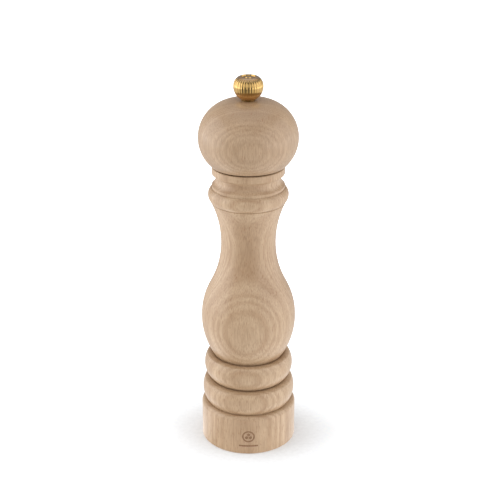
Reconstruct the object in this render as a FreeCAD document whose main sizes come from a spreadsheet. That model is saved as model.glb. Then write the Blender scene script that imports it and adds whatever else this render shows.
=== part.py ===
import FreeCAD, Part
import os

import Sketcher

# A turned beech pepper mill with its steel grinding mechanism.
# +Z is up, the origin is on the mill's axis at the face it stands on, lengths are millimetres.

os.makedirs("parts", exist_ok=True)
doc = FreeCAD.newDocument("pepper_mill")

# ---------------------------------------------------------------- driving sizes

DRIVING = {
    # outside of the wooden body, from the foot up
    "plinth_radius": 27.6,
    "foot_edge": 0.5,
    "plinth_height": 21.3,
    "plinth_lip_crown": 2.6,
    "lower_groove_depth": 5.6,
    "lower_bead_height": 16.1,
    "lower_bead_crown": 2.75,
    "lower_bead_setback": 2.0,
    "lower_bead_lip_crown": 1.1,
    "middle_groove_depth": 7.5,
    "upper_bead_height": 16.2,
    "upper_bead_crown": 3.45,
    "upper_bead_setback": 3.6,
    "upper_bead_lip_crown": 0.7,
    "upper_groove_depth": 7.7,
    "belly_radius": 27.2,
    "belly_rise": 24.2,
    "neck_radius": 15.6,
    "waist_rise": 45.7,
    "waist_turn_share": 0.44,
    "neck_rise": 24.2,
    "collar_radius": 22.7,
    "collar_groove_depth": 1.8,
    "collar_crease_depth": 0.3,
    "collar_crease_height": 0.7,
    "collar_quirk": 0.3,
    "collar_rise": 4.7,
    "collar_fall": 3.9,
    "fillet_band_depth": 2.2,
    "fillet_band_height": 2.3,
    "fillet_band_edge": 0.6,
    "cove_height": 5.9,
    "cove_crown": 1.3,
    "cove_top_depth": 3.2,
    "top_band_depth": 2.25,
    "top_band_height": 4.25,
    "turned_edge": 0.3,
    # hollows of the body
    "chamber_radius": 11.0,
    "base_recess": 6.0,
    # the head
    "head_gap": 1.0,
    "head_curve_radius": 20.9,
    "head_curve_centre": 7.0,
    "head_height": 36.35,
    "spigot_radius": 12.5,
    "spigot_length": 12.3,
    "spigot_floor_gap": 1.0,
    "turning_clearance": 0.3,
    "head_bore_clearance": 0.78,
    # the knob
    "ferrule_flange_radius": 3.9,
    "ferrule_flange": 1.0,
    "ferrule_sleeve_radius": 3.5,
    "ferrule_sleeve": 8.0,
    "knob_gap": 0.15,
    "knob_radius": 8.3,
    "knob_foot_radius": 4.8,
    "knob_cone_radius": 6.7,
    "knob_cone_height": 1.75,
    "knob_waist_height": 5.1,
    "knob_crown_height": 4.7,
    "knob_shoulder_radius": 6.0,
    "knob_rim_curve": 2.9,
    "knob_rim_inset": 1.5,
    "knob_rim_height": 0.6,
    "knob_rim_width": 0.3,
    "knob_dish_depth": 0.75,
    "knob_boss_radius": 1.8,
    "knob_boss_height": 0.5,
    "flute_count": 36,
    "flute_cutter_radius": 1.3,
    "flute_depth": 0.15,
    "flute_down_angle": 28,
    "flute_up_angle": 50,
    "insert_radius": 3.2,
    "insert_setback": 0.5,
    "insert_length": 7.6,
    "knob_bore_end": 1.0,
    # the shaft
    "shaft_side": 6.0,
    "shaft_edge": 0.4,
    "thread_radius": 2.5,
    "thread_pitch": 0.8,
    "thread_depth": 0.4,
    "thread_clearance": 0.05,
    "square_clearance": 0.08,
    "shaft_square_headroom": 1.4,
    "shaft_top_engagement": 7.0,
    "shaft_foot_length": 3.9,
    # the grinding mechanism
    "plate_land": 5.0,
    "plate_thickness": 1.2,
    "plate_opening": 11.5,
    "seat_clearance": 0.05,
    "recess_clearance": 0.3,
    "ring_radius": 15.0,
    "ring_height": 17.8,
    "ring_foot_bore": 11.8,
    "ring_top_bore": 12.9,
    "ring_tooth_depth": 0.8,
    "ring_tooth_count": 24,
    "ring_tooth_width": 1.1,
    "ring_tooth_twist": 12,
    "cone_foot_gap": 1.8,
    "cone_height": 16.0,
    "cone_foot_radius": 9.2,
    "cone_top_radius": 5.6,
    "cone_tooth_depth": 1.0,
    "cone_tooth_count": 12,
    "cone_tooth_width": 1.9,
    "cone_tooth_twist": 32,
    "bridge_thickness": 1.2,
    "bridge_width": 13.0,
    "bridge_rise": 17.8,
    "bridge_leg_radius": 8.6,
    "bridge_foot_reach": 13.4,
    "bush_wall": 0.95,
    "bush_flange_width": 1.2,
    "bush_flange": 0.8,
    "washer_thickness": 0.9,
    "washer_overhang": 0.5,
    "washer_gap": 0.1,
    "spring_clearance": 0.73,
    "spring_wire_radius": 0.5,
    "spring_turns": 5,
    "nut_across_flats": 8.0,
    "nut_height": 2.1,
    # screws
    "plate_screw_count": 3,
    "plate_screw_length": 11.0,
    "drive_screw_count": 2,
    "drive_screw_circle": 7.0,
    "drive_screw_length": 8.0,
    "drive_plate_radius": 10.0,
    "drive_plate_thickness": 1.2,
    "screw_head_radius": 2.1,
    "screw_head_height": 1.1,
    "screw_shank_radius": 1.2,
    "screw_point": 1.6,
    "screw_slot_width": 0.6,
    "screw_slot_depth": 0.5,
}

sheet = doc.addObject("Spreadsheet::Sheet", "Sizes")
for row, (alias, number) in enumerate(DRIVING.items(), start=1):
    sheet.set(f"A{row}", alias)
    sheet.set(f"B{row}", str(number))
    sheet.setAlias(f"B{row}", alias)
doc.recompute()


class Size:
    """A length, ratio or angle: its number now, and the expression that binds it to the sheet."""

    def __init__(self, number, text):
        self.number = number
        self.text = text

    def __add__(self, other):
        other = as_size(other)
        return Size(self.number + other.number, f"({self.text} + {other.text})")

    def __sub__(self, other):
        other = as_size(other)
        return Size(self.number - other.number, f"({self.text} - {other.text})")

    def __mul__(self, other):
        other = as_size(other)
        return Size(self.number * other.number, f"({self.text} * {other.text})")

    def __truediv__(self, other):
        other = as_size(other)
        return Size(self.number / other.number, f"({self.text} / {other.text})")

    def __neg__(self):
        return Size(-self.number, f"(-1 * {self.text})")


def as_size(value):
    """A plain number counts as a size that no cell drives."""
    return value if isinstance(value, Size) else Size(value, repr(float(value)))


def size(alias):
    """The driving size of that name."""
    return Size(float(DRIVING[alias]), f"Sizes.{alias}")


def bind(thing, path, value):
    """Bind one property to the sheet."""
    value = as_size(value)
    if "Sizes." in value.text:
        thing.setExpression(path, value.text)


def bind_all(thing, **sizes):
    """Set properties now and bind them."""
    for key, value in sizes.items():
        setattr(thing, key, value.number)
        bind(thing, key, value)


def root_of(value):
    """Square root."""
    value = as_size(value)
    return Size(value.number**0.5, f"sqrt({value.text})")


def root_of_squares(first, second):
    """The long side of a right triangle from its two short ones."""
    return root_of(first * first + second * second)


def other_leg(long_side, short_side):
    """The other short side of a right triangle."""
    return root_of(long_side * long_side - short_side * short_side)


ZERO = as_size(0)

# ---------------------------------------------------------------- drawing and features

PLANE_ROLES = {"across": "XY_Plane", "upright": "XZ_Plane", "side": "YZ_Plane"}


def new_body(name):
    """An empty body named for its piece."""
    body = doc.addObject("PartDesign::Body", name)
    body.Label = name
    return body


def origin_feature(body, role):
    """One of the body's own origin planes or axes."""
    return next(f for f in body.Origin.OriginFeatures if f.Role == role)


def new_sketch(body, name, plane, height=None, turn=None):
    """A sketch on one of the body's own origin planes, raised and turned about Z if asked."""
    sketch = body.newObject("Sketcher::SketchObject", name)
    sketch.AttachmentSupport = [(origin_feature(body, PLANE_ROLES[plane]), "")]
    sketch.MapMode = "FlatFace"
    height = as_size(height or 0)
    turn = as_size(turn or 0)
    upward = FreeCAD.Vector(0, 0, height.number)
    turned = FreeCAD.Rotation(FreeCAD.Vector(0, 0, 1), turn.number)
    sketch.AttachmentOffset = FreeCAD.Placement(upward, turned)
    bind(sketch, "AttachmentOffset.Base.z", height)
    if turn.number:
        bind(sketch, "AttachmentOffset.Rotation.Angle", turn)
    return sketch


def hold(sketch, kind, geometry, end, value):
    """Fix one coordinate of a point in a sketch and bind it."""
    value = as_size(value)
    if value.text == ZERO.text:
        axis = -2 if kind == "DistanceX" else -1
        sketch.addConstraint(Sketcher.Constraint("PointOnObject", geometry, end, axis))
        return
    index = sketch.addConstraint(Sketcher.Constraint(kind, -1, 1, geometry, end, value.number))
    bind(sketch, f"Constraints[{index}]", value)


def crown_radius(start, end, crown):
    """Radius of the arc between two points that stands the crown's height off their chord."""
    across = end[0] - start[0]
    along = end[1] - start[1]
    chord_squared = across * across + along * along
    return (chord_squared / 4 + crown * crown) / (crown * 2)


def tangent_radius(upright_end, other_end):
    """Radius of the arc that leaves one point vertically and reaches the other."""
    across = other_end[0] - upright_end[0]
    along = other_end[1] - upright_end[1]
    radius = (across * across + along * along) / (across * 2)
    return radius if radius.number > 0 else -radius


def arc_geometry(start, end, radius, outward):
    """The arc of that radius, under half a turn, with its centre left of the way along it if outward."""
    a = FreeCAD.Vector(start[0].number, start[1].number, 0)
    b = FreeCAD.Vector(end[0].number, end[1].number, 0)
    middle = (a + b) * 0.5
    along = b - a
    left = FreeCAD.Vector(-along.y, along.x, 0).normalize()
    reach = max(radius.number**2 - along.Length**2 / 4, 0.0) ** 0.5
    side = 1 if outward else -1
    through = middle - left * side * (radius.number - reach)
    return Part.Arc(a, through, b)


def draw_outline(sketch, points):
    """Draw a closed outline.

    Each point is (x, y) for a straight run to the next point, or (x, y, radius, outward) for an arc to it.
    """
    points = [tuple(as_size(v) if i < 3 else v for i, v in enumerate(p)) for p in points]
    for start, end in zip(points, points[1:] + points[:1]):
        if len(start) == 2:
            a = FreeCAD.Vector(start[0].number, start[1].number, 0)
            b = FreeCAD.Vector(end[0].number, end[1].number, 0)
            sketch.addGeometry(Part.LineSegment(a, b), False)
        else:
            sketch.addGeometry(arc_geometry(start, end, start[2], start[3]), False)
    count = len(points)
    for index, point in enumerate(points):
        # an anticlockwise arc starts at its own first point, a clockwise one at its second
        first, last = ends_of(points, index)
        before = (index - 1) % count
        last = ends_of(points, before)[1]
        sketch.addConstraint(Sketcher.Constraint("Coincident", before, last, index, first))
        hold(sketch, "DistanceX", index, first, point[0])
        hold(sketch, "DistanceY", index, first, point[1])
        if len(point) == 4:
            number = sketch.addConstraint(Sketcher.Constraint("Radius", index, point[2].number))
            bind(sketch, f"Constraints[{number}]", point[2])


def ends_of(points, index):
    """Which ends of a run are its first and last: sketch arcs always run anticlockwise."""
    point = points[index]
    if len(point) == 4 and not point[3]:
        return 2, 1
    return 1, 2


def draw_circle(sketch, x, y, radius):
    """Draw one circle with its centre and radius bound."""
    x, y, radius = as_size(x), as_size(y), as_size(radius)
    centre = FreeCAD.Vector(x.number, y.number, 0)
    index = sketch.addGeometry(Part.Circle(centre, FreeCAD.Vector(0, 0, 1), radius.number), False)
    number = sketch.addConstraint(Sketcher.Constraint("Radius", index, radius.number))
    bind(sketch, f"Constraints[{number}]", radius)
    hold(sketch, "DistanceX", index, 3, x)
    hold(sketch, "DistanceY", index, 3, y)


def axis_outline(points):
    """Close a half outline of (radius, height) points along the axis of turning."""
    return [(ZERO, points[0][1])] + list(points) + [(ZERO, points[-1][1])]


def box_outline(left, front, right, back):
    """A rectangle."""
    return [(left, front), (right, front), (right, back), (left, back)]


def square_outline(side):
    """A square centred on the axis."""
    half = side / 2
    return box_outline(-half, -half, half, half)


def add_feature(body, kind, name, sketch, **settings):
    """Add a PartDesign feature made from one sketch; settings that are sizes are bound."""
    feature = body.newObject(f"PartDesign::{kind}", name)
    feature.Profile = sketch
    for key, value in settings.items():
        if isinstance(value, Size):
            setattr(feature, key, value.number)
            bind(feature, key, value)
        else:
            setattr(feature, key, value)
    return feature


def must_change(body, before, larger):
    """Stop if the last feature did not add, or did not cut, what it should."""
    doc.recompute()
    change = body.Shape.Volume - before
    if (change <= 0) if larger else (change >= 0):
        raise RuntimeError(f"{body.Label}: the last feature changed the volume by {change}")


def turn_solid(body, name, points):
    """Turn a solid about Z from (radius, height) points."""
    sketch = new_sketch(body, f"{body.Label}_{name}_outline", "upright")
    draw_outline(sketch, points)
    feature = add_feature(body, "Revolution", f"{body.Label}_{name}", sketch, Angle=360.0)
    feature.ReferenceAxis = (sketch, ["V_Axis"])
    doc.recompute()
    return feature


def turn_groove(body, name, points):
    """Turn a hollow or a groove about Z out of the body."""
    before = body.Shape.Volume
    sketch = new_sketch(body, f"{body.Label}_{name}_outline", "upright")
    draw_outline(sketch, points)
    feature = add_feature(body, "Groove", f"{body.Label}_{name}", sketch, Angle=360.0)
    feature.ReferenceAxis = (sketch, ["V_Axis"])
    must_change(body, before, larger=False)
    return feature


def pad(body, name, draw, height, length):
    """Pad what draw() puts in a level sketch, upward from the height."""
    before = body.Shape.Volume if body.Tip else 0.0
    sketch = new_sketch(body, f"{body.Label}_{name}_outline", "across", height)
    draw(sketch)
    feature = add_feature(body, "Pad", f"{body.Label}_{name}", sketch, Length=as_size(length))
    must_change(body, before, larger=True)
    return feature


def pocket(body, name, draw, height, length):
    """Pocket what draw() puts in a level sketch, upward from the height."""
    before = body.Shape.Volume
    sketch = new_sketch(body, f"{body.Label}_{name}_outline", "across", height)
    draw(sketch)
    full_name = f"{body.Label}_{name}"
    feature = add_feature(body, "Pocket", full_name, sketch, Length=as_size(length), Reversed=True)
    must_change(body, before, larger=False)
    return feature


def repeat_round(body, features, count):
    """Repeat features evenly round the axis."""
    pattern = body.newObject("PartDesign::PolarPattern", f"{features[0].Name}_round")
    pattern.Originals = features
    pattern.Axis = (origin_feature(body, "Z_Axis"), [""])
    pattern.Angle = 360.0
    pattern.Occurrences = int(count.number)
    bind(pattern, "Occurrences", count)
    body.Tip = pattern
    doc.recompute()
    return pattern


def twisted_tooth(body, name, rungs):
    """Loft a tooth through triangles, each (height, turn, root radius, tip radius, half width)."""
    before = body.Shape.Volume
    sketches = []
    for number, (height, turn, root, tip, half_width) in enumerate(rungs):
        sketch = new_sketch(body, f"{body.Label}_{name}_{number}", "across", height, turn)
        draw_outline(sketch, [(root, -half_width), (tip, ZERO), (root, half_width)])
        sketches.append(sketch)
    feature = body.newObject("PartDesign::AdditiveLoft", f"{body.Label}_{name}")
    feature.Profile = sketches[0]
    feature.Sections = sketches[1:]
    feature.Ruled = True
    must_change(body, before, larger=True)
    return feature


# ---------------------------------------------------------------- heights and shared sizes

plinth_top = size("plinth_height")
lower_bead_top = plinth_top + size("lower_bead_height")
upper_bead_top = lower_bead_top + size("upper_bead_height")
belly_height = upper_bead_top + size("belly_rise")
neck_height = belly_height + size("waist_rise")
collar_foot = neck_height + size("neck_rise")
collar_height = collar_foot + size("collar_rise")
collar_top = collar_height + size("collar_fall")
cove_foot = collar_top + size("fillet_band_height")
cove_top = cove_foot + size("cove_height")
body_top = cove_top + size("top_band_height")

head_bottom = body_top + size("head_gap")
head_top = head_bottom + size("head_height")
spigot_bottom = head_bottom - size("spigot_length")
socket_floor = spigot_bottom - size("spigot_floor_gap")
ferrule_foot = head_top - size("ferrule_sleeve")
ferrule_top = head_top + size("ferrule_flange")
knob_foot = ferrule_top + size("knob_gap")
knob_waist = knob_foot + size("knob_cone_height") + size("knob_waist_height")
knob_shoulder = knob_waist + size("knob_crown_height")
knob_top = knob_shoulder + size("knob_rim_height")

plate_bottom = size("base_recess")
ring_bottom = plate_bottom + size("plate_thickness")
ring_top = ring_bottom + size("ring_height")
ledge_height = ring_top + size("bridge_thickness")
bridge_underside = ring_top + size("bridge_rise")
bridge_top = bridge_underside + size("bridge_thickness")
bush_foot = bridge_underside - size("bush_flange")
cone_bottom = ring_bottom + size("cone_foot_gap")
cone_top = cone_bottom + size("cone_height")
lower_washer_top = cone_top + size("washer_thickness")
upper_washer_bottom = bush_foot - size("washer_gap") - size("washer_thickness")
end_washer_bottom = cone_bottom - size("washer_thickness")
nut_bottom = end_washer_bottom - size("nut_height")

shaft_square_bottom = cone_bottom + size("shaft_edge") * 1.5
shaft_square_top = ferrule_foot - size("shaft_square_headroom")
shaft_foot = shaft_square_bottom - size("shaft_foot_length")
shaft_top = knob_foot + size("shaft_top_engagement")

half_side = size("shaft_side") / 2
shaft_corner_radius = root_of_squares(half_side, half_side - size("shaft_edge"))
square_hole_side = size("shaft_side") + size("square_clearance") * 2
shaft_bore_radius = shaft_corner_radius + size("square_clearance")
thread_bore_radius = size("thread_radius") + size("thread_clearance")
counterbore_radius = size("ring_radius") + size("seat_clearance")
plate_radius = size("ring_radius") + size("plate_land")
plate_screw_circle = size("ring_radius") + size("plate_land") / 2
recess_radius = plate_radius + size("recess_clearance")
bush_radius = shaft_bore_radius + size("bush_wall")
spring_mean_radius = shaft_corner_radius + size("spring_clearance") + size("spring_wire_radius")
washer_radius = spring_mean_radius + size("spring_wire_radius") + size("washer_overhang")
head_bore_radius = shaft_corner_radius + size("head_bore_clearance")
pilot_radius = size("screw_shank_radius") + size("seat_clearance")
edge = size("turned_edge")

# ---------------------------------------------------------------- the wooden body


def make_body_shell():
    """The turned outside, then the chamber, the head's socket and the mechanism's counterbores."""
    plinth = size("plinth_radius")
    foot_edge = size("foot_edge")
    lower_groove = (plinth - size("lower_groove_depth"), plinth_top)
    lower_lip = (plinth - size("lower_bead_setback"), lower_bead_top)
    middle_groove = (plinth - size("middle_groove_depth"), lower_bead_top)
    upper_lip = (plinth - size("upper_bead_setback"), upper_bead_top)
    upper_groove = (plinth - size("upper_groove_depth"), upper_bead_top)
    plinth_lip = (plinth, plinth_top)
    belly = (size("belly_radius"), belly_height)
    neck = (size("neck_radius"), neck_height)
    share = size("waist_turn_share")
    waist = (belly[0] + (neck[0] - belly[0]) * share, belly[1] + (neck[1] - belly[1]) * share)
    collar = (size("collar_radius"), collar_height)
    collar_groove = (collar[0] - size("collar_groove_depth"), collar_foot)
    crease_height = size("collar_crease_height")
    collar_crease = (collar_groove[0] - size("collar_crease_depth"), collar_foot + crease_height / 2)
    collar_lip = (collar_groove[0] + size("collar_quirk"), collar_foot + crease_height)
    band_radius = collar[0] - size("fillet_band_depth")
    collar_end = (band_radius + size("collar_quirk"), collar_top)
    cove_start = (band_radius - size("fillet_band_edge"), cove_foot)
    cove_end = (collar[0] - size("cove_top_depth"), cove_top)
    top_radius = collar[0] - size("top_band_depth")

    def crowned(start, end, crown, outward=True):
        return start + (crown_radius(start, end, size(crown)), outward)

    outline = [
        (plinth - foot_edge, ZERO),
        (plinth, foot_edge),
        crowned(plinth_lip, lower_groove, "plinth_lip_crown"),
        crowned(lower_groove, lower_lip, "lower_bead_crown"),
        crowned(lower_lip, middle_groove, "lower_bead_lip_crown"),
        crowned(middle_groove, upper_lip, "upper_bead_crown"),
        crowned(upper_lip, upper_groove, "upper_bead_lip_crown"),
        upper_groove + (tangent_radius(belly, upper_groove), True),
        belly + (tangent_radius(belly, waist), True),
        waist + (tangent_radius(neck, waist), False),
        neck + (tangent_radius(neck, collar_groove), False),
        collar_groove,
        collar_crease,
        collar_lip + (tangent_radius(collar, collar_lip), True),
        collar + (tangent_radius(collar, collar_end), True),
        collar_end,
        (band_radius, collar_top),
        (band_radius, cove_foot - size("fillet_band_edge")),
        crowned(cove_start, cove_end, "cove_crown", outward=False),
        cove_end,
        (top_radius, cove_top + edge),
        (top_radius, body_top - edge),
        (top_radius - edge, body_top),
    ]
    body = new_body("body_shell")
    turn_solid(body, "turning", axis_outline(outline))
    chamber = size("chamber_radius")
    socket = size("spigot_radius") + size("turning_clearance")
    turn_groove(body, "bore", [
        (ZERO, ZERO),
        (recess_radius, ZERO),
        (recess_radius, ring_bottom),
        (counterbore_radius, ring_bottom),
        (counterbore_radius, ledge_height),
        (chamber, ledge_height),
        (chamber, socket_floor),
        (socket, socket_floor),
        (socket, body_top),
        (ZERO, body_top),
    ])
    depth = size("plate_screw_length") - size("plate_thickness") + size("seat_clearance")
    hole = pocket(
        body, "pilot", lambda s: draw_circle(s, plate_screw_circle, 0, pilot_radius), ring_bottom, depth
    )
    repeat_round(body, [hole], size("plate_screw_count"))


# ---------------------------------------------------------------- the head and the knob


def make_head():
    """The ball head with its spigot, bored for the shaft, the ferrule and the drive plate."""
    centre_radius = size("head_curve_centre")
    curve = size("head_curve_radius")
    centre_height = head_top - curve
    spigot = size("spigot_radius")
    edge_height = head_bottom + edge
    edge_radius = centre_radius + other_leg(curve, centre_height - edge_height)
    body = new_body("head")
    turn_solid(body, "turning", axis_outline([
        (spigot - edge, spigot_bottom),
        (spigot, spigot_bottom + edge),
        (spigot, head_bottom),
        (edge_radius - edge, head_bottom),
        (edge_radius, edge_height, curve, True),
        (centre_radius, head_top),
    ]))
    plate_seat = size("drive_plate_radius") + size("seat_clearance")
    plate_top = spigot_bottom + size("drive_plate_thickness")
    sleeve_seat = size("ferrule_sleeve_radius") + size("seat_clearance")
    turn_groove(body, "bore", [
        (ZERO, spigot_bottom),
        (plate_seat, spigot_bottom),
        (plate_seat, plate_top),
        (head_bore_radius, plate_top),
        (head_bore_radius, ferrule_foot),
        (sleeve_seat, ferrule_foot),
        (sleeve_seat, head_top),
        (ZERO, head_top),
    ])
    circle = size("drive_screw_circle")
    depth = size("drive_screw_length") - size("drive_plate_thickness") + size("seat_clearance")
    hole = pocket(body, "pilot", lambda s: draw_circle(s, circle, 0, pilot_radius), plate_top, depth)
    repeat_round(body, [hole], size("drive_screw_count"))


def make_drive_plate():
    """The disc under the spigot whose square hole turns the shaft."""
    body = new_body("drive_plate")
    thickness = size("drive_plate_thickness")
    radius = size("drive_plate_radius")
    circle = size("drive_screw_circle")
    pad(body, "disc", lambda s: draw_circle(s, 0, 0, radius), spigot_bottom, thickness)
    square = square_outline(square_hole_side)
    pocket(body, "square", lambda s: draw_outline(s, square), spigot_bottom, thickness)
    hole = pocket(body, "hole", lambda s: draw_circle(s, circle, 0, pilot_radius), spigot_bottom, thickness)
    repeat_round(body, [hole], size("drive_screw_count"))


def make_head_ferrule():
    """The flanged ferrule in the top of the head, which the knob bears on."""
    bore = size("thread_radius") + size("turning_clearance")
    flange = size("ferrule_flange_radius")
    sleeve = size("ferrule_sleeve_radius")
    body = new_body("head_ferrule")
    turn_solid(body, "turning", [
        (bore, ferrule_foot),
        (sleeve, ferrule_foot),
        (sleeve, head_top),
        (flange, head_top),
        (flange, ferrule_top),
        (bore, ferrule_top),
    ])


def cut_flute(body, name, centre, cutter_place, angle, upward):
    """Sweep the round cutter up or down the knob's side, about the centre of that side's curve."""
    sketch = new_sketch(body, name + "_outline", "across", knob_waist)
    draw_circle(sketch, cutter_place, 0, size("flute_cutter_radius"))
    reach = size("knob_radius").number
    low = FreeCAD.Vector(centre.number, -reach, 0)
    high = FreeCAD.Vector(centre.number, reach, 0)
    axis_line = sketch.addGeometry(Part.LineSegment(low, high), True)
    sketch.addConstraint(Sketcher.Constraint("Vertical", axis_line))
    hold(sketch, "DistanceX", axis_line, 1, centre)
    before = body.Shape.Volume
    flute = add_feature(body, "Groove", name, sketch)
    flute.ReferenceAxis = (sketch, ["Axis0"])
    flute.Reversed = upward
    flute.Angle = DRIVING[angle]
    bind(flute, "Angle", size(angle))
    must_change(body, before, larger=False)
    return flute


def make_knob():
    """The fluted knob: a barrel on a cone, with a dished top and a low boss, bored for its insert."""
    body = new_body("knob")
    widest = (size("knob_radius"), knob_waist)
    cone_end = (size("knob_cone_radius"), knob_foot + size("knob_cone_height"))
    shoulder = (size("knob_shoulder_radius"), knob_shoulder)
    rim_top = (shoulder[0] - size("knob_rim_inset"), knob_top)
    dish_edge = (rim_top[0] - size("knob_rim_width"), knob_top)
    dish_floor = knob_top - size("knob_dish_depth")
    boss = size("knob_boss_radius")
    boss_top = dish_floor + size("knob_boss_height")
    lower_curve = tangent_radius(widest, cone_end)
    upper_curve = tangent_radius(widest, shoulder)
    turn_solid(body, "turning", axis_outline([
        (size("knob_foot_radius"), knob_foot),
        cone_end + (lower_curve, True),
        widest + (upper_curve, True),
        shoulder + (size("knob_rim_curve"), True),
        rim_top,
        dish_edge,
        (dish_edge[0] - size("knob_dish_depth") / 2, dish_floor),
        (boss, dish_floor),
        (boss - size("knob_boss_height") / 2, boss_top),
    ]))
    insert_seat = size("insert_radius") + size("seat_clearance")
    insert_top = knob_foot + size("insert_setback") + size("insert_length")
    turn_groove(body, "bore", [
        (ZERO, knob_foot),
        (insert_seat, knob_foot),
        (insert_seat, insert_top),
        (thread_bore_radius, insert_top + size("knob_bore_end")),
        (ZERO, insert_top + size("knob_bore_end")),
    ])
    cutter_place = widest[0] + size("flute_cutter_radius") - size("flute_depth")
    low_centre = widest[0] - lower_curve
    high_centre = widest[0] - upper_curve
    lower = cut_flute(body, "knob_flute_below", low_centre, cutter_place, "flute_down_angle", False)
    upper = cut_flute(body, "knob_flute_above", high_centre, cutter_place, "flute_up_angle", True)
    repeat_round(body, [lower, upper], size("flute_count"))


def make_knob_insert():
    """The threaded steel insert in the knob."""
    outside = size("insert_radius")
    bottom = knob_foot + size("insert_setback")
    top = bottom + size("insert_length")
    body = new_body("knob_insert")
    turn_solid(body, "turning", [
        (thread_bore_radius, bottom),
        (outside, bottom),
        (outside, top),
        (thread_bore_radius, top),
    ])


# ---------------------------------------------------------------- the shaft and the burrs


def make_shaft():
    """The square shaft, with a turned and threaded end above and below."""
    body = new_body("shaft")
    chamfer = size("shaft_edge")
    inner = half_side - chamfer
    corners = [
        (half_side, -inner), (half_side, inner), (inner, half_side), (-inner, half_side),
        (-half_side, inner), (-half_side, -inner), (-inner, -half_side), (inner, -half_side),
    ]
    length = shaft_square_top - shaft_square_bottom
    pad(body, "square", lambda s: draw_outline(s, corners), shaft_square_bottom, length)
    radius = size("thread_radius")
    for name, low, high in (("foot", shaft_foot, shaft_square_bottom), ("top", shaft_square_top, shaft_top)):
        pad(body, name, lambda s: draw_circle(s, 0, 0, radius), low, high - low)
    pitch = size("thread_pitch")
    root = radius - size("thread_depth")
    first = shaft_top - pitch
    groove = turn_groove(body, "thread", [
        (root, first),
        (radius + pitch / 8, first - pitch * 0.45),
        (radius + pitch / 8, first + pitch * 0.45),
    ])
    pattern = body.newObject("PartDesign::LinearPattern", "shaft_thread_turns")
    pattern.Originals = [groove]
    pattern.Direction = (origin_feature(body, "Z_Axis"), [""])
    pattern.Reversed = True
    turns = int((size("shaft_top_engagement") / pitch).number)
    pattern.Occurrences = turns
    pattern.Length = (turns - 1) * pitch.number
    bind(pattern, "Length", pitch * (turns - 1))
    body.Tip = pattern
    doc.recompute()


def make_female_burr():
    """The toothed ring: a bore that widens upward, with teeth twisted against the cone's."""
    body = new_body("female_burr")
    outside = size("ring_radius")
    foot_bore = size("ring_foot_bore")
    top_bore = size("ring_top_bore")
    turn_solid(body, "turning", [
        (foot_bore, ring_bottom),
        (outside, ring_bottom),
        (outside, ring_top),
        (top_bore, ring_top),
    ])
    depth = size("ring_tooth_depth")
    root_sink = depth / 2
    half = size("ring_tooth_width") / 2
    tooth = twisted_tooth(body, "tooth", [
        (ring_bottom, ZERO, foot_bore + root_sink, foot_bore - depth, half),
        (ring_top, -size("ring_tooth_twist"), top_bore + root_sink, top_bore - depth, half),
    ])
    repeat_round(body, [tooth], size("ring_tooth_count"))


def make_male_burr():
    """The toothed cone, with a square hole for the shaft."""
    body = new_body("male_burr")
    foot = size("cone_foot_radius")
    top = size("cone_top_radius")
    turn_solid(body, "turning", [
        (ZERO, cone_bottom),
        (foot, cone_bottom),
        (top, cone_top),
        (ZERO, cone_top),
    ])
    depth = size("cone_tooth_depth")
    root_sink = depth / 2
    half = size("cone_tooth_width") / 2
    tooth = twisted_tooth(body, "tooth", [
        (cone_bottom, ZERO, foot - root_sink, foot + depth, half),
        (cone_top, size("cone_tooth_twist"), top - root_sink, top + depth, half * 0.7),
    ])
    repeat_round(body, [tooth], size("cone_tooth_count"))
    height = size("cone_height")
    pocket(body, "square", lambda s: draw_outline(s, square_outline(square_hole_side)), cone_bottom, height)


# ---------------------------------------------------------------- the bridge, the spring and the small parts


def make_bridge():
    """The strap that stands on the ring and spans the spring, with a hole for its bush."""
    body = new_body("bridge")
    leg = size("bridge_leg_radius")
    leg_inside = leg - size("bridge_thickness")
    reach = size("bridge_foot_reach")
    sketch = new_sketch(body, "bridge_strap_outline", "upright")
    draw_outline(sketch, [
        (-reach, ring_top), (-leg_inside, ring_top), (-leg_inside, bridge_underside),
        (leg_inside, bridge_underside), (leg_inside, ring_top), (reach, ring_top),
        (reach, ledge_height), (leg, ledge_height), (leg, bridge_top),
        (-leg, bridge_top), (-leg, ledge_height), (-reach, ledge_height),
    ])
    strap = add_feature(body, "Pad", "bridge_strap", sketch, Length=size("bridge_width"))
    strap.Midplane = True
    doc.recompute()
    hole = bush_radius + size("seat_clearance")
    thickness = size("bridge_thickness")
    pocket(body, "hole", lambda s: draw_circle(s, 0, 0, hole), bridge_underside, thickness)


def make_bridge_bush():
    """The flanged bush in the bridge: the shaft turns and slides in it, the spring pushes on it."""
    flange = bush_radius + size("bush_flange_width")
    body = new_body("bridge_bush")
    turn_solid(body, "turning", [
        (shaft_bore_radius, bush_foot),
        (flange, bush_foot),
        (flange, bridge_underside),
        (bush_radius, bridge_underside),
        (bush_radius, bridge_top),
        (shaft_bore_radius, bridge_top),
    ])


def make_washer(name, bottom, bore):
    """A flat washer."""
    top = bottom + size("washer_thickness")
    body = new_body(name)
    turn_solid(body, "turning", [(bore, bottom), (washer_radius, bottom), (washer_radius, top), (bore, top)])


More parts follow.
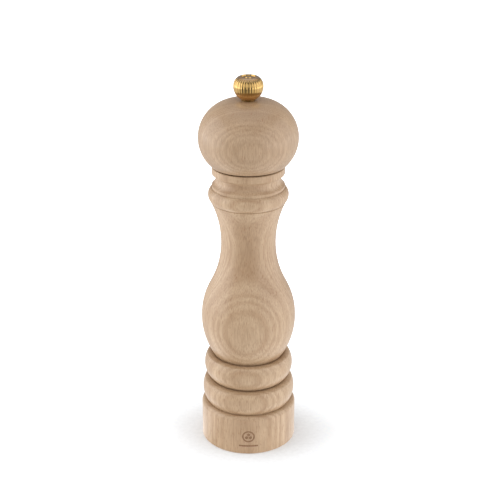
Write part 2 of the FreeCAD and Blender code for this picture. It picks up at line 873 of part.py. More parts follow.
def make_spring():
    """The compression spring: one wire on a helix between the two washers."""
    wire = size("spring_wire_radius")
    low = lower_washer_top + wire + size("washer_gap")
    high = upper_washer_bottom - wire
    helix = doc.addObject("Part::Helix", "spring_line")
    bind_all(helix, Radius=spring_mean_radius, Height=high - low, Pitch=(high - low) / size("spring_turns"))
    helix.Placement.Base.z = low.number
    bind(helix, "Placement.Base.z", low)
    section = doc.addObject("Part::Circle", "spring_wire")
    bind_all(section, Radius=wire)
    section.Placement = FreeCAD.Placement(
        FreeCAD.Vector(spring_mean_radius.number, 0, low.number),
        FreeCAD.Rotation(FreeCAD.Vector(1, 0, 0), 90),
    )
    bind(section, "Placement.Base.x", spring_mean_radius)
    bind(section, "Placement.Base.z", low)
    sweep = doc.addObject("Part::Sweep", "spring")
    sweep.Sections = [section]
    sweep.Spine = (helix, ["Edge1"])
    sweep.Solid = True
    sweep.Frenet = True
    sweep.Label = "spring"
    doc.recompute()


def make_bottom_plate():
    """The ring that holds the female burr up in the body."""
    body = new_body("bottom_plate")
    inside = size("plate_opening")
    thickness = size("plate_thickness")
    turn_solid(body, "turning", [
        (inside, plate_bottom),
        (plate_radius, plate_bottom),
        (plate_radius, ring_bottom),
        (inside, ring_bottom),
    ])
    hole = pocket(
        body, "hole", lambda s: draw_circle(s, plate_screw_circle, 0, pilot_radius), plate_bottom, thickness
    )
    repeat_round(body, [hole], size("plate_screw_count"))


def make_burr_nut():
    """The hexagon nut under the male burr."""
    body = new_body("burr_nut")
    half_flats = size("nut_across_flats") / 2
    corner = half_flats * 2 / root_of(3)
    hexagon = [
        (corner, ZERO), (corner / 2, half_flats), (-corner / 2, half_flats),
        (-corner, ZERO), (-corner / 2, -half_flats), (corner / 2, -half_flats),
    ]
    height = size("nut_height")
    pad(body, "hexagon", lambda s: draw_outline(s, hexagon), nut_bottom, height)
    pocket(body, "bore", lambda s: draw_circle(s, 0, 0, thread_bore_radius), nut_bottom, height)


def make_screws(name, count, circle, length, seat):
    """Round-headed slotted wood screws, heads down, evenly spaced round the axis."""
    body = new_body(name)
    body.AllowCompound = True
    head = size("screw_head_radius")
    head_bottom_height = seat - size("screw_head_height")
    shank = size("screw_shank_radius")
    tip = seat + length
    sketch = new_sketch(body, f"{name}_outline", "upright")
    sketch.AttachmentOffset.Base.x = circle.number
    bind(sketch, "AttachmentOffset.Base.x", circle)
    flat = size("screw_slot_width")
    draw_outline(sketch, [
        (ZERO, head_bottom_height),
        (flat, head_bottom_height) + (crown_radius((flat, head_bottom_height), (head, seat), edge), True),
        (head, seat),
        (shank, seat),
        (shank, tip - size("screw_point")),
        (ZERO, tip),
    ])
    turned = add_feature(body, "Revolution", f"{name}_turning", sketch, Angle=360.0)
    turned.ReferenceAxis = (sketch, ["V_Axis"])
    doc.recompute()
    slot_half = size("screw_slot_width") / 2
    slot = box_outline(circle - head, -slot_half, circle + head, slot_half)
    depth = size("screw_slot_depth")
    cut = pocket(body, "slot", lambda s: draw_outline(s, slot), head_bottom_height, depth)
    pattern = repeat_round(body, [turned], count)
    pattern.Originals = [turned, cut]
    doc.recompute()


make_body_shell()
make_head()
make_drive_plate()
make_screws(
    "drive_plate_screws", size("drive_screw_count"), size("drive_screw_circle"),
    size("drive_screw_length"), spigot_bottom,
)
make_head_ferrule()
make_knob()
make_knob_insert()
make_shaft()
make_female_burr()
make_male_burr()
make_bridge()
make_bridge_bush()
make_washer("upper_spring_washer", upper_washer_bottom, shaft_bore_radius)
make_washer("lower_spring_washer", cone_top, shaft_bore_radius)
make_washer("end_washer", end_washer_bottom, thread_bore_radius)
make_spring()
make_burr_nut()
make_bottom_plate()
make_screws(
    "bottom_plate_screws", size("plate_screw_count"), plate_screw_circle,
    size("plate_screw_length"), plate_bottom,
)

# ---------------------------------------------------------------- check and export

NODES = [
    "body_shell", "head", "drive_plate", "drive_plate_screws", "head_ferrule", "knob", "knob_insert",
    "shaft", "female_burr", "male_burr", "bridge", "bridge_bush", "upper_spring_washer",
    "lower_spring_washer", "end_washer", "spring", "burr_nut", "bottom_plate", "bottom_plate_screws",
]

doc.recompute()
for item in doc.Objects:
    if "Invalid" in item.State or "Error" in item.State:
        raise RuntimeError(f"{item.Label}: {item.State}")
pieces = {label: doc.getObjectsByLabel(label)[0] for label in NODES}
for label, piece in pieces.items():
    if piece.Shape.isNull() or not piece.Shape.isValid():
        raise RuntimeError(f"{label}: its shape is not valid")
for label, piece in pieces.items():
    piece.Shape.exportStep(f"parts/{label}.step")
    print(f"{label}: {len(piece.Shape.Solids)} solid(s), {piece.Shape.Volume:.1f} mm3")
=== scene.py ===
import math

import bmesh
import bpy
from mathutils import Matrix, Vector


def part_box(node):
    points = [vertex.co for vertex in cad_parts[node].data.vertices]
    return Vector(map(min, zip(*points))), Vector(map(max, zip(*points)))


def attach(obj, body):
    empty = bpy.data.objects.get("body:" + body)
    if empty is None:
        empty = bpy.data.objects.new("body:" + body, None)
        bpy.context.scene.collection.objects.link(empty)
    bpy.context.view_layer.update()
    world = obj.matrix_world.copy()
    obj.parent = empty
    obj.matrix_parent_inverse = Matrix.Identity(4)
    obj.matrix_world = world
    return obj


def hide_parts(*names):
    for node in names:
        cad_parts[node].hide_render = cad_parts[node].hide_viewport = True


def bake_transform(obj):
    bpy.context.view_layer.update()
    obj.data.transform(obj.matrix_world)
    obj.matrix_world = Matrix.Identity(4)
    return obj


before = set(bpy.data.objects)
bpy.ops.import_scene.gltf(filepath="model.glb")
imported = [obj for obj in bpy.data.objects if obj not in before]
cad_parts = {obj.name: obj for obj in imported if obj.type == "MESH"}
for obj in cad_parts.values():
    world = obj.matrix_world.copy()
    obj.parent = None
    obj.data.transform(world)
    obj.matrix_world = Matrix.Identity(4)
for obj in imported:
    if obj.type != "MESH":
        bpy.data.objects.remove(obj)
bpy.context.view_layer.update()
scene = bpy.context.scene
scene.view_settings.view_transform = "Standard"

MM = 0.001


def linear(hex_colour):
    """An sRGB hex colour as the linear RGBA that a shader socket takes."""
    shares = [int(hex_colour[i:i + 2], 16) / 255 for i in (1, 3, 5)]
    return tuple(c / 12.92 if c <= 0.04045 else ((c + 0.055) / 1.055) ** 2.4 for c in shares) + (1.0,)


def per_metre(*sizes):
    """How many of a pattern's marks fit in a metre, for their size in millimetres along X, Y and Z."""
    return tuple(1 / (size * MM) for size in sizes)


def add_node(tree, kind, inputs=None, stops=None, **settings):
    """Adds one node. Its inputs are plain values, other nodes' outputs, or other nodes, which stand for
    their first output. Stops are a colour ramp's, as (place, hex colour) from low to high."""
    node = tree.nodes.new(kind)
    for name, value in settings.items():
        setattr(node, name, value)
    for name, value in (inputs or {}).items():
        if isinstance(value, bpy.types.Node):
            value = value.outputs[0]
        if isinstance(value, bpy.types.NodeSocket):
            tree.links.new(value, node.inputs[name])
        else:
            node.inputs[name].default_value = value
    if stops:
        elements = node.color_ramp.elements
        while len(elements) > 1:
            elements.remove(elements[-1])
        elements[0].position = stops[0][0]
        elements[0].color = linear(stops[0][1])
        for place, colour in stops[1:]:
            elements.new(place).color = linear(colour)
    return node


def new_material(name):
    """An empty node material, and its tree."""
    material = bpy.data.materials.new(name)
    material.use_nodes = True
    material.node_tree.nodes.clear()
    return material, material.node_tree


def new_object(name, mesh):
    piece = bpy.data.objects.new(name, mesh)
    scene.collection.objects.link(piece)
    return piece


# ---------------------------------------------------------------- camera and studio

DOWNWARD_TILT = 22.52

camera_data = bpy.data.cameras.new("camera")
camera_data.sensor_width = 36.0
camera_data.lens = 89.35
camera_data.clip_start = 0.01
camera = new_object("camera", camera_data)
camera.location = (0.0009, -0.6539, 0.3891)
camera.rotation_euler = (math.radians(90 - DOWNWARD_TILT), 0.0, 0.0)
scene.camera = camera


def softbox(name, place, target, size, brightness):
    """A flat softbox facing its target: brightness is what it shows next to a white wall's 1."""
    light = bpy.data.lights.new(name, "AREA")
    light.shape = "RECTANGLE"
    light.size, light.size_y = size
    light.energy = brightness * math.pi * size[0] * size[1]
    box = new_object(name, light)
    box.location = place
    box.rotation_euler = (Vector(place) - Vector(target)).to_track_quat("Z", "Y").to_euler()


def round_about(azimuth, distance, height):
    """A place round the mill; azimuth turns from the front towards the right."""
    turn = math.radians(azimuth)
    return (distance * math.sin(turn), -distance * math.cos(turn), height)


# The side boxes give the white sheen down both sides of the wood and the knob's bright flutes,
# the front box lights what faces the user, and the one above softens the shadow on the table.
softbox("softbox_left", round_about(-90, 0.8, 0.47), (0.0, 0.0, 0.47), (1.15, 0.9), 2.5)
softbox("softbox_right", round_about(76, 0.8, 0.47), (0.0, 0.0, 0.47), (1.5, 0.9), 1.7)
softbox("softbox_front", round_about(-6, 1.3, 0.85), (0.0, 0.0, 0.85), (1.9, 0.95), 0.69)
softbox("softbox_above", (0.0, 0.1, 1.1), (0.0, 0.0, 0.1), (1.1, 1.1), 0.9)


def white_studio():
    """A white room: what shows past the table is plain white, and the light the room gives is dimmer."""
    studio = bpy.data.worlds.new("studio")
    studio.use_nodes = True
    tree = studio.node_tree
    tree.nodes.clear()
    seen = add_node(tree, "ShaderNodeLightPath").outputs["Is Camera Ray"]
    room = add_node(tree, "ShaderNodeBackground", {"Color": linear("#FFFFFF"), "Strength": 0.47})
    backdrop = add_node(tree, "ShaderNodeBackground", {"Color": linear("#FFFFFF"), "Strength": 1.0})
    either = add_node(tree, "ShaderNodeMixShader", {0: seen, 1: room, 2: backdrop})
    add_node(tree, "ShaderNodeOutputWorld", {"Surface": either})
    scene.world = studio


white_studio()


def white_table():
    """Matt white table which glows, a painted light, from none at the mill's foot, so that it stays white
    right up to a soft shadow.

    A real table is brightest beside the softboxes and ends in front of the mill, where the room is dark.
    What it throws back is painted to show that: glossy surfaces see a painted reflection of the table by its
    bearing round the mill, and matt ones get a painted glow round the foot and a painted dim grey past its
    front edge."""
    material, tree = new_material("matt_white_table")
    place = add_node(tree, "ShaderNodeTexCoord").outputs["Object"]
    rays = add_node(tree, "ShaderNodeLightPath")
    axes = add_node(tree, "ShaderNodeSeparateXYZ", {0: place})
    across = axes.outputs["X"]
    ahead = add_node(tree, "ShaderNodeMath", {0: axes.outputs["Y"], 1: -1.0}, operation="MULTIPLY")
    flat_place = add_node(tree, "ShaderNodeCombineXYZ", {"X": across, "Y": ahead})
    distance = add_node(tree, "ShaderNodeVectorMath", {0: flat_place}, operation="LENGTH").outputs["Value"]

    # paint with a faint 2.5 mm mottle, and its glow, a painted light: none at the foot, full 250 mm away
    mottle = add_node(tree, "ShaderNodeTexNoise", {"Vector": place, "Scale": 1 / (2.5 * MM), "Detail": 2.0})
    paint = add_node(tree, "ShaderNodeValToRGB", {"Fac": mottle}, stops=[(0.3, "#E6E9EC"), (0.7, "#ECEFF2")])
    far_light = add_node(tree, "ShaderNodeMapRange", {
        "Value": distance, "From Min": 30 * MM, "From Max": 250 * MM, "To Min": 0.0, "To Max": 0.86})
    shadow_edge = add_node(tree, "ShaderNodeMapRange", {
        "Value": distance, "From Min": 26 * MM, "From Max": 60 * MM, "To Min": 0.0, "To Max": 0.14})
    glow = add_node(tree, "ShaderNodeMath", {0: far_light, 1: shadow_edge}, operation="ADD")
    top = add_node(tree, "ShaderNodeBsdfPrincipled", {
        "Base Color": paint, "Roughness": 0.9, "Specular IOR Level": 0.0,
        "Emission Color": linear("#FFFFFF"), "Emission Strength": glow})

    # painted light that matt surfaces get from it: a glow round the foot, and a dim grey past the front edge
    foot_light = add_node(tree, "ShaderNodeMapRange", {
        "Value": distance, "From Min": 45 * MM, "From Max": 110 * MM, "To Min": 0.85, "To Max": 0.0})
    foot_glow = add_node(tree, "ShaderNodeEmission", {
        "Color": linear("#FFFFFF"),
        "Strength": add_node(tree, "ShaderNodeMath", {
            0: rays.outputs["Is Diffuse Ray"], 1: foot_light}, operation="MULTIPLY")})
    lit_top = add_node(tree, "ShaderNodeAddShader", {0: top, 1: foot_glow})
    past_edge = add_node(tree, "ShaderNodeMapRange", {
        "Value": ahead, "From Min": 100 * MM, "From Max": 300 * MM, "To Min": 0.0, "To Max": 0.5})
    painted_dim_edge = add_node(tree, "ShaderNodeEmission", {"Color": linear("#C8C8C8"), "Strength": 0.2})
    lighting = add_node(tree, "ShaderNodeMixShader", {
        0: add_node(tree, "ShaderNodeMath", {
            0: rays.outputs["Is Diffuse Ray"], 1: past_edge}, operation="MULTIPLY"),
        1: lit_top, 2: painted_dim_edge})

    # the painted reflection that glossy surfaces see of it, by bearing in degrees from the front towards the
    # right
    levels = [(-180, "#9F9F9F"), (-150, "#9F9F9F"), (-130, "#C2C2C2"), (-105, "#F6F6F6"), (-84, "#FFFFFF"),
              (-66, "#CDCDCD"), (-52, "#848484"), (-38, "#6A6A6A"), (4, "#6A6A6A"), (22, "#B5B5B5"),
              (45, "#D9D9D9"), (60, "#FAFAFA"), (80, "#F1F1F1"), (112, "#DEDEDE"), (132, "#C2C2C2"),
              (152, "#9F9F9F")]
    bearing = add_node(tree, "ShaderNodeMath", {
        0: add_node(tree, "ShaderNodeMath", {0: across, 1: ahead}, operation="ARCTAN2"),
        1: 0.5 / math.pi, 2: 0.5}, operation="MULTIPLY_ADD")
    shine = add_node(tree, "ShaderNodeValToRGB", {"Fac": bearing},
                     stops=[(degrees / 360 + 0.5, grey) for degrees, grey in levels])
    painted_reflection = add_node(tree, "ShaderNodeEmission", {"Color": shine, "Strength": 2.05})
    add_node(tree, "ShaderNodeOutputMaterial", {"Surface": add_node(tree, "ShaderNodeMixShader", {
        0: rays.outputs["Is Glossy Ray"], 1: lighting, 2: painted_reflection})})

    # a hair under the mill's foot, so that the two faces don't lie in one plane
    reach, low = 4.0, -0.05 * MM
    corners = [(-reach, -reach, low), (reach, -reach, low), (reach, reach, low), (-reach, reach, low)]
    mesh = bpy.data.meshes.new("table")
    mesh.from_pydata(corners, [], [(0, 1, 2, 3)])
    mesh.materials.append(material)
    new_object("table", mesh)


white_table()


# ---------------------------------------------------------------- beech

def turned_beech(name, pith, early, late, shift):
    """Beech, turned on the lathe, sanded and oiled: pale pinkish tan, a satin sheen, growth layers
    that show as arches where the turning cuts through them, and short dark ray flecks along the grain.

    The grain runs along Z. The growth layers are cylinders round the pith, which lies outside the blank.
    """
    material, tree = new_material(name)
    coordinates = add_node(tree, "ShaderNodeTexCoord")
    place = coordinates.outputs["Object"]

    # how the wood varies: each pattern's size in millimetres across, across and along the grain
    patterns = {}
    for pattern, sizes, detail, roughness in (
            ("wander", (38.5, 38.5, 111.0), 2.0, 0.5),
            ("clearness", (22.2, 22.2, 33.3), 1.0, 0.5),
            ("fibres", (0.526, 0.526, 8.33), 3.0, 0.55),
            ("cloud", (16.7, 16.7, 71.4), 2.0, 0.5)):
        stretched = add_node(tree, "ShaderNodeMapping", {
            "Vector": place, "Location": shift, "Scale": per_metre(*sizes)})
        patterns[pattern] = add_node(tree, "ShaderNodeTexNoise", {
            "Vector": stretched, "Scale": 1.0, "Detail": detail, "Roughness": roughness})

    # the trunk is never quite round or straight: its layers wander by 1.2 mm either way
    axes = add_node(tree, "ShaderNodeSeparateXYZ", {0: place})
    across = add_node(tree, "ShaderNodeMath", {0: axes.outputs["X"], 1: pith[0]}, operation="SUBTRACT")
    before = add_node(tree, "ShaderNodeMath", {0: pith[1], 1: axes.outputs["Y"]}, operation="SUBTRACT")
    from_pith = add_node(tree, "ShaderNodeCombineXYZ", {"X": across, "Y": before})
    reach = add_node(tree, "ShaderNodeMath", {
        0: patterns["wander"], 1: 2.4 * MM,
        2: add_node(tree, "ShaderNodeVectorMath", {0: from_pith}, operation="LENGTH").outputs["Value"],
    }, operation="MULTIPLY_ADD")
    angle = add_node(tree, "ShaderNodeMath", {0: across, 1: before}, operation="ARCTAN2")

    # growth layers, some 2.6 mm wide and never equal: pale wood of spring, then the darker wood of autumn
    layer_change = add_node(tree, "ShaderNodeTexNoise", {
        "W": add_node(tree, "ShaderNodeMath", {0: reach, 1: 1 / (6.5 * MM)}, operation="MULTIPLY"),
        "Scale": 1.0, "Detail": 0.0}, noise_dimensions="1D")
    layer_count = add_node(tree, "ShaderNodeMath", {
        0: reach, 1: 1 / (2.6 * MM),
        2: add_node(tree, "ShaderNodeMath", {0: layer_change, 1: 2.0}, operation="MULTIPLY"),
    }, operation="MULTIPLY_ADD")
    layer = add_node(tree, "ShaderNodeMath", {0: layer_count}, operation="FRACT")
    layer_tone = add_node(tree, "ShaderNodeValToRGB", {"Fac": layer}, stops=[
        (0.0, late), (0.25, early), (0.45, early), (0.85, late), (1.0, late)])
    # how clearly the layers show changes over the piece
    clearness = add_node(tree, "ShaderNodeMapRange", {
        "Value": patterns["clearness"], "From Min": 0.3, "From Max": 0.7, "To Min": 0.35, "To Max": 1.0})
    layered = add_node(tree, "ShaderNodeMix", {
        0: clearness, 6: linear(early), 7: layer_tone}, data_type="RGBA").outputs[2]

    # fibres: fine streaks, drawn half a millimetre wide so that they show
    fibre_tone = add_node(tree, "ShaderNodeValToRGB", {"Fac": patterns["fibres"]}, stops=[
        (0.3, "#DCD6CF"), (0.5, "#F2F0ED"), (0.72, "#FFFFFF")])
    streaked = add_node(tree, "ShaderNodeMix", {
        0: 1.0, 6: layered, 7: fibre_tone}, data_type="RGBA", blend_type="MULTIPLY").outputs[2]

    # ray flecks: plates that point at the pith, 2.5 mm tall, 0.5 mm thick where the pith is 110 mm away,
    # and 3.5 mm deep
    ray_place = add_node(tree, "ShaderNodeCombineXYZ", {
        "X": add_node(tree, "ShaderNodeMath", {0: angle, 1: 110 / 0.5}, operation="MULTIPLY"),
        "Y": add_node(tree, "ShaderNodeMath", {0: reach, 1: 1 / (3.5 * MM)}, operation="MULTIPLY"),
        "Z": add_node(tree, "ShaderNodeMath", {
            0: axes.outputs["Z"], 1: 1 / (2.5 * MM)}, operation="MULTIPLY")})
    ray_plates = add_node(tree, "ShaderNodeTexNoise", {
        "Vector": ray_place, "Scale": 1.0, "Detail": 1.0, "Roughness": 0.4})
    fleck = add_node(tree, "ShaderNodeMapRange", {
        "Value": ray_plates, "From Min": 0.60, "From Max": 0.74, "To Min": 0.0, "To Max": 0.55})
    flecked = add_node(tree, "ShaderNodeMix", {
        0: fleck, 6: streaked, 7: linear("#8A6546")}, data_type="RGBA").outputs[2]

    # slow change of tone, which runs far along the grain
    cloud_tone = add_node(tree, "ShaderNodeValToRGB", {"Fac": patterns["cloud"]}, stops=[
        (0.3, "#F0EBE6"), (0.7, "#FFFFFF")])
    clouded = add_node(tree, "ShaderNodeMix", {
        0: 1.0, 6: flecked, 7: cloud_tone}, data_type="RGBA", blend_type="MULTIPLY").outputs[2]

    # end grain drinks more oil, so faces that look along the grain are darker
    facing = add_node(tree, "ShaderNodeSeparateXYZ", {0: coordinates.outputs["Normal"]}).outputs["Z"]
    end_grain = add_node(tree, "ShaderNodeMapRange", {
        "Value": add_node(tree, "ShaderNodeMath", {0: facing}, operation="ABSOLUTE"),
        "From Min": 0.6, "From Max": 1.0, "To Min": 0.0, "To Max": 0.12})
    soaked = add_node(tree, "ShaderNodeMix", {
        0: end_grain, 6: clouded, 7: linear("#94755A")}, data_type="RGBA").outputs[2]

    # oil leaves the hard fibres glossier than the soft ones between, and sanding leaves them proud
    gloss = add_node(tree, "ShaderNodeMapRange", {
        "Value": patterns["fibres"], "From Min": 0.3, "From Max": 0.7, "To Min": 0.42, "To Max": 0.32})
    relief = add_node(tree, "ShaderNodeBump", {
        "Strength": 0.25, "Distance": 0.06 * MM,
        "Height": add_node(tree, "ShaderNodeMath", {0: patterns["fibres"], 1: fleck}, operation="SUBTRACT")})
    wood = add_node(tree, "ShaderNodeBsdfPrincipled", {
        "Base Color": soaked, "Roughness": gloss, "IOR": 1.5, "Normal": relief})
    add_node(tree, "ShaderNodeOutputMaterial", {"Surface": wood})
    return material


# ---------------------------------------------------------------- metals

# how large each way of working leaves its marks, in millimetres along X, Y and Z
WORK_MARKS = {
    "turned": (0.15, 0.15, 0.15),  # the tool's lines, 0.15 mm apart
    "drawn": (0.2, 0.2, 10.0),  # lines 0.2 mm apart and 10 mm long
    "rolled": (0.357, 0.357, 0.357),  # spangle of the plating
    "ground": (0.2, 1.0, 0.4),  # scratches 0.2 mm wide and 1 mm long
}


def worked_metal(name, colour, dark, roughness, marks, mark_depth, painted_top_shade=None, painted_underside_highlight=None):
    """A bare or plated metal. Marks say how its surface was made: turned lines run round the Z axis,
    drawn lines run along it, and rolled or ground marks go all ways. Mark depth is in millimetres.
    The colour given for the top is painted on faces that look up, a painted shade for a dim reflection there,
    and makes them rougher; the colour given for the underside is painted on faces that look down, a painted
    highlight."""
    material, tree = new_material(name)
    coordinates = add_node(tree, "ShaderNodeTexCoord")
    place = coordinates.outputs["Object"]
    worked_at = place
    if marks == "turned":
        # the tool's lines close on themselves round the axis
        axes = add_node(tree, "ShaderNodeSeparateXYZ", {0: place})
        flat_place = add_node(tree, "ShaderNodeCombineXYZ", {"X": axes.outputs["X"], "Y": axes.outputs["Y"]})
        radius = add_node(tree, "ShaderNodeVectorMath", {0: flat_place}, operation="LENGTH").outputs["Value"]
        worked_at = add_node(tree, "ShaderNodeCombineXYZ", {"X": radius, "Z": axes.outputs["Z"]})
    marks_at = add_node(tree, "ShaderNodeMapping", {
        "Vector": worked_at, "Scale": per_metre(*WORK_MARKS[marks])})
    lines = add_node(tree, "ShaderNodeTexNoise", {"Vector": marks_at, "Scale": 1.0, "Detail": 2.0})

    # the lines and 4.55 mm patches of tarnish change its tone
    tarnish = add_node(tree, "ShaderNodeTexNoise", {
        "Vector": place, "Scale": 1 / (4.55 * MM), "Detail": 3.0})
    wear = add_node(tree, "ShaderNodeMath", {
        0: lines, 1: 0.35,
        2: add_node(tree, "ShaderNodeMath", {0: tarnish, 1: 0.65}, operation="MULTIPLY"),
    }, operation="MULTIPLY_ADD")
    tone = add_node(tree, "ShaderNodeValToRGB", {"Fac": wear}, stops=[(0.32, dark), (0.62, colour)])
    rough = add_node(tree, "ShaderNodeMapRange", {
        "Value": lines, "From Min": 0.3, "From Max": 0.7,
        "To Min": roughness * 0.8, "To Max": roughness * 1.25})
    relief = add_node(tree, "ShaderNodeBump", {
        "Strength": 0.3, "Distance": mark_depth * MM, "Height": lines})
    # painted light: faces that look down get a painted highlight, and faces that look up a painted shade and
    # grow rougher
    if painted_top_shade and painted_underside_highlight:
        facing = add_node(tree, "ShaderNodeSeparateXYZ", {0: coordinates.outputs["Normal"]}).outputs["Z"]
        underside_highlight_mask = add_node(tree, "ShaderNodeMapRange", {
            "Value": facing, "From Min": -0.3, "From Max": -0.5, "To Min": 0.0, "To Max": 1.0})
        with_underside_highlight = add_node(tree, "ShaderNodeMix", {
            0: underside_highlight_mask, 6: tone, 7: linear(painted_underside_highlight)}, data_type="RGBA").outputs[2]
        top_shade_and_roughness = add_node(tree, "ShaderNodeMapRange", {
            "Value": facing, "From Min": 0.55, "From Max": 0.9, "To Min": 0.0, "To Max": 0.85})
        tone = add_node(tree, "ShaderNodeMix", {
            0: top_shade_and_roughness, 6: with_underside_highlight, 7: linear(painted_top_shade)}, data_type="RGBA").outputs[2]
        rough = add_node(tree, "ShaderNodeMath", {0: top_shade_and_roughness, 1: 0.3, 2: rough}, operation="MULTIPLY_ADD")
    metal = add_node(tree, "ShaderNodeBsdfPrincipled", {
        "Base Color": tone, "Metallic": 1.0, "Roughness": rough, "Normal": relief})
    add_node(tree, "ShaderNodeOutputMaterial", {"Surface": metal})
    return material


# ---------------------------------------------------------------- finishes

body_beech = turned_beech("oiled_beech_body", (0.006, 0.085), "#B99F82", "#A88B6D", (0.3, 0.1, 0.0))
head_beech = turned_beech("oiled_beech_head", (0.0, 0.0712), "#B0967A", "#A2886C", (3.1, 5.2, 1.7))

# polished brass: mirror gold with faint darker patches; faces that look up are painted a dull brown, a
# painted shade, and faces that look down a pale gold, a painted highlight
polished_brass = worked_metal("polished_brass", "#B2925C", "#9C7E4A", 0.13, "turned", 0.002,
                              painted_top_shade="#A58C76", painted_underside_highlight="#E9C58A")
# turned brass, left from the tool and satin, painted a dark brown: painted shade for the shadow under the
# knob
ferrule_brass_painted_shade = worked_metal("turned_brass_ferrule_painted_shade", "#7E6238", "#5C4526", 0.32, "turned", 0.01)
# turned brass, rubbed bright by the washer that runs on it
bush_brass = worked_metal("turned_brass_bush", "#CDA458", "#A07C40", 0.30, "turned", 0.01)
# free-cutting steel, turned and threaded: grey and satin
turned_steel = worked_metal("turned_steel", "#BDBCB8", "#9A9894", 0.32, "turned", 0.01)
# square bar drawn through a die, then zinc plated: bluish grey with long lines
drawn_steel = worked_metal("zinc_plated_drawn_bar", "#C4C6C8", "#9DA0A3", 0.30, "drawn", 0.006)
# case-hardened steel, teeth cut and then blacked by the furnace: dark and oily
burr_steel = worked_metal("case_hardened_steel", "#77757A", "#4D4A4E", 0.38, "ground", 0.015)
# stamped strip, zinc plated: soft spangle
stamped_steel = worked_metal("zinc_plated_strip", "#C6C8CA", "#A2A5A8", 0.34, "rolled", 0.008)
# small washers, barrel plated: bright and even
washer_steel = worked_metal("zinc_plated_washer", "#CBCCCE", "#ABADB0", 0.30, "rolled", 0.006)
# spring wire, coiled hard-drawn: dark grey
spring_steel = worked_metal("hard_drawn_spring_wire", "#96969B", "#6C6B70", 0.30, "drawn", 0.006)
# wood screws, thread rolled, zinc plated and passivated: faint yellow
screw_steel = worked_metal("passivated_screw_steel", "#C8C3B2", "#A39C86", 0.32, "rolled", 0.008)

FINISHES = {
    "body_shell": body_beech, "head": head_beech,
    "knob": polished_brass, "head_ferrule": ferrule_brass_painted_shade, "bridge_bush": bush_brass,
    "knob_insert": turned_steel, "burr_nut": turned_steel, "shaft": drawn_steel,
    "male_burr": burr_steel, "female_burr": burr_steel,
    "bottom_plate": stamped_steel, "bridge": stamped_steel, "drive_plate": stamped_steel,
    "end_washer": washer_steel, "lower_spring_washer": washer_steel, "upper_spring_washer": washer_steel,
    "spring": spring_steel,
    "bottom_plate_screws": screw_steel, "drive_plate_screws": screw_steel,
}
for node_name, node_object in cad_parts.items():
    node_object.data.materials.clear()
    node_object.data.materials.append(FINISHES[node_name])


# ---------------------------------------------------------------- spring

def coiled_spring():
    """The spring, coiled from one wire. In the mill its top stays under the bush and its foot rises and sinks
    with the cone, so its coils close up and open as the grind is set; here it is built at one length and
    stays so."""
    low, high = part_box("spring")
    wire_radius = 0.5 * MM
    coils, steps, sides = 5, 48, 12
    mean_radius = high.x - wire_radius
    climb = (high.z - low.z - 2 * wire_radius) / (coils * steps)
    climb_per_radian = climb * steps / (2 * math.pi)
    round_wire = [(wire_radius * math.cos(2 * math.pi * side / sides),
                   wire_radius * math.sin(2 * math.pi * side / sides)) for side in range(sides)]
    shape = bmesh.new()
    rings = []
    for step in range(coils * steps + 1):
        turn = 2 * math.pi * step / steps
        outward = Vector((math.cos(turn), math.sin(turn), 0.0))
        along = Vector((-mean_radius * math.sin(turn), mean_radius * math.cos(turn), climb_per_radian))
        upward = outward.cross(along.normalized())
        middle = outward * mean_radius + Vector((0.0, 0.0, low.z + wire_radius + climb * step))
        rings.append([shape.verts.new(middle + outward * out + upward * up) for out, up in round_wire])
    for ring, following in zip(rings, rings[1:]):
        for side in range(sides):
            beside = (side + 1) % sides
            shape.faces.new((ring[side], ring[beside], following[beside], following[side]))
    shape.faces.new(rings[0])
    shape.faces.new(rings[-1])
    bmesh.ops.recalc_face_normals(shape, faces=shape.faces)
    for face in shape.faces:
        face.smooth = len(face.verts) == 4
    mesh = bpy.data.meshes.new("coiled_spring")
    shape.to_mesh(mesh)
    shape.free()
    mesh.materials.append(spring_steel)
    spring = new_object("coiled_spring", mesh)
    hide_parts("spring")
    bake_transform(spring)


coiled_spring()


# ---------------------------------------------------------------- mark burned into the plinth

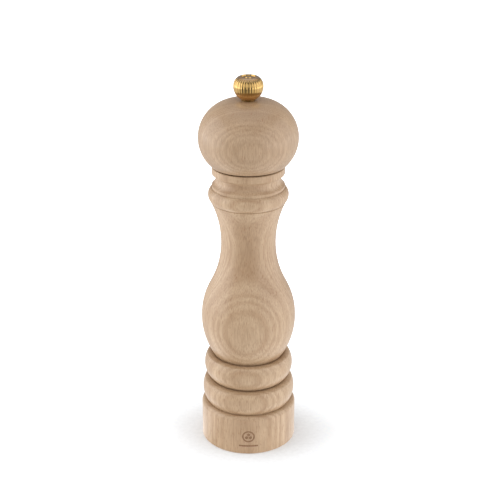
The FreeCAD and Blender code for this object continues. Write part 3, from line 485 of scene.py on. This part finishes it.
def scorched_beech():
    """Beech scorched by a hot stamp: brown, uneven along the fibres, quite matt."""
    material, tree = new_material("scorched_beech")
    place = add_node(tree, "ShaderNodeTexCoord").outputs["Object"]
    along_grain = add_node(tree, "ShaderNodeMapping", {"Vector": place, "Scale": per_metre(0.4, 0.4, 2.0)})
    fibres = add_node(tree, "ShaderNodeTexNoise", {"Vector": along_grain, "Scale": 1.0, "Detail": 3.0})
    tone = add_node(tree, "ShaderNodeValToRGB", {"Fac": fibres}, stops=[(0.25, "#664931"), (0.75, "#8E6D52")])
    relief = add_node(tree, "ShaderNodeBump", {
        "Strength": 0.3, "Distance": 0.05 * MM, "Height": fibres})
    char = add_node(tree, "ShaderNodeBsdfPrincipled", {
        "Base Color": tone, "Roughness": 0.7, "IOR": 1.46, "Normal": relief})
    add_node(tree, "ShaderNodeOutputMaterial", {"Surface": char})
    return material


def stamped_mark():
    """A maker's mark of the plainest kind: a ring round three peppercorns, over a short rule.
    It is laid on the round plinth as a skin 0.03 mm proud of the wood."""
    plinth_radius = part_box("body_shell")[1].x
    skin = plinth_radius + 0.03 * MM
    centre = 11.6 * MM
    ring_inside, ring_outside = 2.8 * MM, 3.75 * MM
    corn_centre, corn_hole, corn_radius = 1.3 * MM, 0.05 * MM, 0.95 * MM
    rule_reach, rule_bottom, rule_top, rule_steps = 5.6 * MM, 4.9 * MM, 6.0 * MM, 24
    shape = bmesh.new()

    def on_plinth(across, up):
        turn = across / skin
        return shape.verts.new((skin * math.sin(turn), -skin * math.cos(turn), up))

    def band(inner, outer, middle, steps):
        for step in range(steps):
            corners = []
            for radius, place in ((inner, step), (outer, step), (outer, step + 1), (inner, step + 1)):
                angle = 2 * math.pi * place / steps
                corners.append(on_plinth(middle[0] + radius * math.cos(angle),
                                         middle[1] + radius * math.sin(angle)))
            shape.faces.new(corners)

    band(ring_inside, ring_outside, (0.0, centre), 64)
    for corn in range(3):
        angle = math.radians(90 + 120 * corn)
        middle = (corn_centre * math.cos(angle), centre + corn_centre * math.sin(angle))
        band(corn_hole, corn_radius, middle, 24)
    for step in range(rule_steps):
        left = rule_reach * (2 * step / rule_steps - 1)
        right = rule_reach * (2 * (step + 1) / rule_steps - 1)
        shape.faces.new([on_plinth(left, rule_bottom), on_plinth(right, rule_bottom),
                         on_plinth(right, rule_top), on_plinth(left, rule_top)])
    bmesh.ops.remove_doubles(shape, verts=shape.verts, dist=0.001 * MM)
    bmesh.ops.recalc_face_normals(shape, faces=shape.faces)
    mesh = bpy.data.meshes.new("stamped_mark")
    shape.to_mesh(mesh)
    shape.free()
    mesh.materials.append(scorched_beech())
    mark = new_object("stamped_mark", mesh)
    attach(mark, "mill_body")


stamped_mark()
